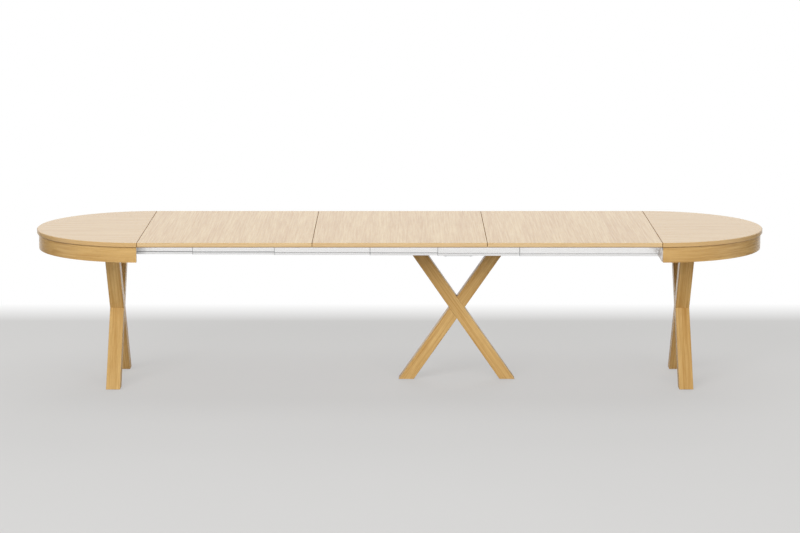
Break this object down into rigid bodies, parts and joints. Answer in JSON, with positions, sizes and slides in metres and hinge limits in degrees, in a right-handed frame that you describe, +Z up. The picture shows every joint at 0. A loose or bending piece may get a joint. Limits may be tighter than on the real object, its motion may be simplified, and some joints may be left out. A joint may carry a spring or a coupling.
{
  "type": "extension dining table",
  "caption": "Drawn-out oak dining table with half-round ends, loose leaves on nested aluminium runners and crossed square legs; the ends close to a round table.",
  "frame": {"origin": "on the floor, under the middle of the drawn-out top", "axes": "+X along the table towards the end nearest the middle leg, +Y to the rear, +Z up"},
  "size_m": [3.5462, 1.07, 0.76],
  "materials": {
    "top_oak": "matt lacquered oak veneer, pale",
    "leaf_oak": "matt lacquered oak veneer, pale, grain across the table",
    "apron_oak": "satin lacquered oak, grain along the curve",
    "leg_oak": "satin lacquered solid oak, grain along the beam",
    "inner_wood": "planed, unlacquered",
    "runner_alloy": "natural anodised",
    "zinc_steel": "zinc plated",
    "glide_plastic": "moulded"
  },
  "bodies": {
    "left_end": {"left_apron": "apron_oak", "left_bearer_front": "inner_wood", "left_bearer_rear": "inner_wood", "left_block_front": "inner_wood", "left_block_rear": "inner_wood", "left_foot_glides": "glide_plastic", "left_glue_blocks": "inner_wood", "left_half_top": "top_oak", "left_leg_bolts": "zinc_steel", "left_leg_front_beam": "leg_oak", "left_leg_rear_beam": "leg_oak", "left_seam_board_front": "apron_oak", "left_seam_board_rear": "apron_oak", "runner_left_front": "runner_alloy", "runner_left_rear": "runner_alloy"},
    "left_leaf_board": {"left_leaf": "leaf_oak"},
    "middle_stand": {"middle_arm_front": "inner_wood", "middle_arm_rear": "inner_wood", "middle_arm_screws": "zinc_steel", "middle_bearer": "inner_wood", "middle_foot_glides": "glide_plastic", "middle_leg_left_beam": "leg_oak", "middle_leg_right_beam": "leg_oak", "middle_plate": "zinc_steel", "middle_plate_bolts": "zinc_steel", "middle_spacer_front": "runner_alloy", "middle_spacer_rear": "runner_alloy", "runner_middle_front": "runner_alloy", "runner_middle_rear": "runner_alloy"},
    "middle_leaf_board": {"middle_leaf": "leaf_oak"},
    "right_end": {"right_apron": "apron_oak", "right_bearer_front": "inner_wood", "right_bearer_rear": "inner_wood", "right_block_front": "inner_wood", "right_block_rear": "inner_wood", "right_foot_glides": "glide_plastic", "right_glue_blocks": "inner_wood", "right_half_top": "top_oak", "right_leg_bolts": "zinc_steel", "right_leg_front_beam": "leg_oak", "right_leg_rear_beam": "leg_oak", "right_seam_board_front": "apron_oak", "right_seam_board_rear": "apron_oak", "runner_right_front": "runner_alloy", "runner_right_rear": "runner_alloy"},
    "right_leaf_board": {"right_leaf": "leaf_oak"},
    "runner_pair_a": {"runner_a_front": "runner_alloy", "runner_a_rear": "runner_alloy"},
    "runner_pair_b": {"runner_b_front": "runner_alloy", "runner_b_rear": "runner_alloy"},
    "runner_pair_c": {"runner_c_front": "runner_alloy", "runner_c_rear": "runner_alloy"},
    "runner_pair_e": {"runner_e_front": "runner_alloy", "runner_e_rear": "runner_alloy"},
    "runner_pair_f": {"runner_f_front": "runner_alloy", "runner_f_rear": "runner_alloy"}
  },
  "joints": [
    {"name": "left_end_slide", "type": "slide", "parent": "middle_stand", "child": "left_end", "axis": [1, 0, 0], "range_m": [0, 1.5185]},
    {"name": "right_end_slide", "type": "slide", "parent": "middle_stand", "child": "right_end", "axis": [-1, 0, 0], "range_m": [0, 0.9566]},
    {"name": "runner_a_slide", "type": "slide", "parent": "middle_stand", "child": "runner_pair_a", "axis": [1, 0, 0], "range_m": [0, 1.2073]},
    {"name": "runner_b_slide", "type": "slide", "parent": "middle_stand", "child": "runner_pair_b", "axis": [1, 0, 0], "range_m": [0, 0.8405]},
    {"name": "runner_c_slide", "type": "slide", "parent": "middle_stand", "child": "runner_pair_c", "axis": [1, 0, 0], "range_m": [0, 0.4532]},
    {"name": "runner_e_slide", "type": "slide", "parent": "middle_stand", "child": "runner_pair_e", "axis": [-1, 0, 0], "range_m": [0, 0.3174]},
    {"name": "runner_f_slide", "type": "slide", "parent": "middle_stand", "child": "runner_pair_f", "axis": [-1, 0, 0], "range_m": [0, 0.7017]},
    {"name": "left_leaf_lift", "type": "slide", "parent": "middle_stand", "child": "left_leaf_board", "axis": [0, 0, 1], "range_m": [0, 0.7501]},
    {"name": "middle_leaf_lift", "type": "slide", "parent": "middle_stand", "child": "middle_leaf_board", "axis": [0, 0, 1], "range_m": [0, 0.7501]},
    {"name": "right_leaf_lift", "type": "slide", "parent": "middle_stand", "child": "right_leaf_board", "axis": [0, 0, 1], "range_m": [0, 0.7501]}
  ],
  "couplings": [
    {"joint": "right_end_slide", "follows": "left_end_slide", "ratio": 0.6299},
    {"joint": "runner_a_slide", "follows": "left_end_slide", "ratio": 0.79498},
    {"joint": "runner_b_slide", "follows": "left_end_slide", "ratio": 0.55341},
    {"joint": "runner_c_slide", "follows": "left_end_slide", "ratio": 0.29839},
    {"joint": "runner_e_slide", "follows": "left_end_slide", "ratio": 0.20897},
    {"joint": "runner_f_slide", "follows": "left_end_slide", "ratio": 0.46206},
    {"joint": "left_leaf_lift", "follows": "left_end_slide", "ratio": 0.49391},
    {"joint": "middle_leaf_lift", "follows": "left_end_slide", "ratio": 0.49391},
    {"joint": "right_leaf_lift", "follows": "left_end_slide", "ratio": 0.49391}
  ]
}
